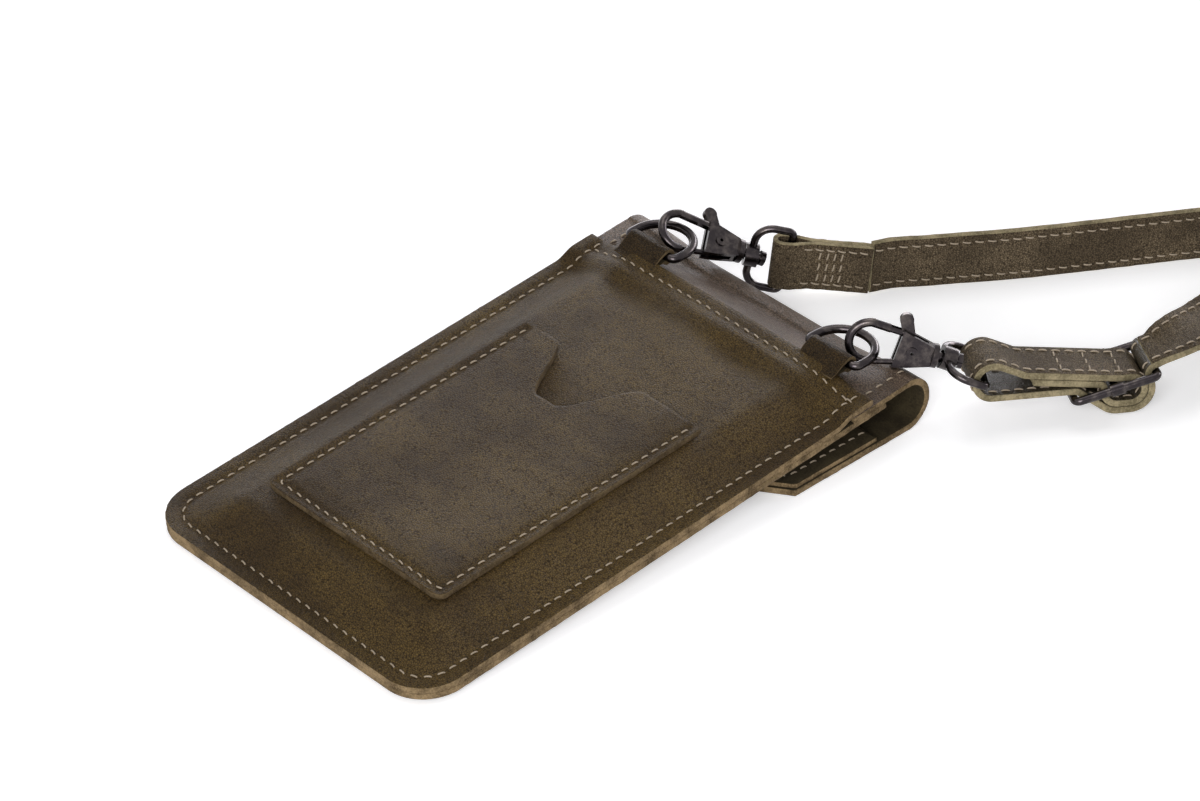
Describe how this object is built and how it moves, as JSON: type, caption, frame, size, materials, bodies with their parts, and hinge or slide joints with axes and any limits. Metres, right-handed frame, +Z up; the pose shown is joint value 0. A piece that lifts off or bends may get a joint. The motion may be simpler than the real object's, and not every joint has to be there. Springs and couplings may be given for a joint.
{
  "type": "phone pouch",
  "caption": "Flat leather phone pouch with a fold-over magnetic flap, a card pocket on its back, D-rings and a clip-on shoulder strap with a slider.",
  "frame": {"origin": "centre of the pouch's footprint, on the plane that its closed flap lies on", "axes": "+Y along the pouch from its closed end to the fold of the flap, +X across it towards the ring that is nearer in the picture, +Z up through the back with the card pocket"},
  "size_m": [0.2396, 0.3652, 0.0311],
  "materials": {
    "leather": "smooth aniline leather, satin",
    "lining": "soft dark lining leather, matte",
    "strap_leather": "strap leather, satin, with raw edges",
    "metal": "dark nickel plate, polished",
    "bright": "nickel plate, polished",
    "magnet": "black coating, satin"
  },
  "bodies": {
    "pouch": {"back_panel": "leather", "front_panel": "leather", "flap_fold": "leather", "card_pocket": "leather", "far_tab": "leather", "near_tab": "leather", "snap_stud": "bright", "stud_washer": "bright", "strap_far_end": "strap_leather", "strap_near_end": "strap_leather", "strap_far_run": "strap_leather", "strap_near_run": "strap_leather", "strap_coil": "strap_leather", "slider_frame": "metal", "slider_bar": "metal"},
    "flap": {"flap": "leather", "flap_lining": "lining", "snap_socket": "bright", "snap_magnet": "magnet", "snap_washer": "bright"},
    "far_d_ring": {"far_d_ring": "metal"},
    "far_swivel_ring": {"far_swivel_ring": "metal"},
    "far_hook": {"far_hook": "metal", "far_rivet": "bright", "far_spring": "bright"},
    "far_trigger": {"far_trigger": "metal"},
    "near_d_ring": {"near_d_ring": "metal"},
    "near_swivel_ring": {"near_swivel_ring": "metal"},
    "near_hook": {"near_hook": "metal", "near_rivet": "bright", "near_spring": "bright"},
    "near_trigger": {"near_trigger": "metal"}
  },
  "joints": [
    {"name": "flap_fold_hinge", "type": "hinge", "parent": "pouch", "child": "flap", "pos_m": [0, 0.09209, 0.00815], "axis": [1, 0, 0], "range_deg": [0, 78]},
    {"name": "far_d_ring_hinge", "type": "hinge", "parent": "pouch", "child": "far_d_ring", "pos_m": [-0.035, 0.07342, 0.02069], "axis": [1, 0, 0], "range_deg": [0, 6]},
    {"name": "far_ring_hinge", "type": "hinge", "parent": "pouch", "child": "far_swivel_ring", "pos_m": [-0.01456, 0.10648, 0.01055], "axis": [0.1444, 0.1496, 0.9781], "range_deg": [-5, 0.5]},
    {"name": "far_hook_swivel", "type": "hinge", "parent": "far_swivel_ring", "child": "far_hook", "pos_m": [-0.02149, 0.0993, 0.01267], "axis": [0.5602, 0.7171, -0.4147], "range_deg": [0, 45]},
    {"name": "far_trigger_hinge", "type": "hinge", "parent": "far_hook", "child": "far_trigger", "pos_m": [-0.0272, 0.09199, 0.0169], "axis": [0.5852, 0.0117, 0.8108], "range_deg": [-5, 0], "stiffness_Nm_per_rad": 0.002, "springref_deg": 34.38},
    {"name": "near_d_ring_hinge", "type": "hinge", "parent": "pouch", "child": "near_d_ring", "pos_m": [0.035, 0.07342, 0.02069], "axis": [1, 0, 0], "range_deg": [0, 20]},
    {"name": "near_ring_hinge", "type": "hinge", "parent": "pouch", "child": "near_swivel_ring", "pos_m": [0.06173, 0.10442, 0.01401], "axis": [-0.7598, 0.6372, -0.129], "range_deg": [-0.2, 0.6]},
    {"name": "near_hook_swivel", "type": "hinge", "parent": "near_swivel_ring", "child": "near_hook", "pos_m": [0.05527, 0.09751, 0.01783], "axis": [0.674, 0.698, -0.2419], "range_deg": [-4, 30]},
    {"name": "near_trigger_hinge", "type": "hinge", "parent": "near_hook", "child": "near_trigger", "pos_m": [0.0484, 0.09039, 0.0203], "axis": [0.7386, -0.6319, 0.2347], "range_deg": [-3, 0], "stiffness_Nm_per_rad": 0.002, "springref_deg": 34.38}
  ]
}
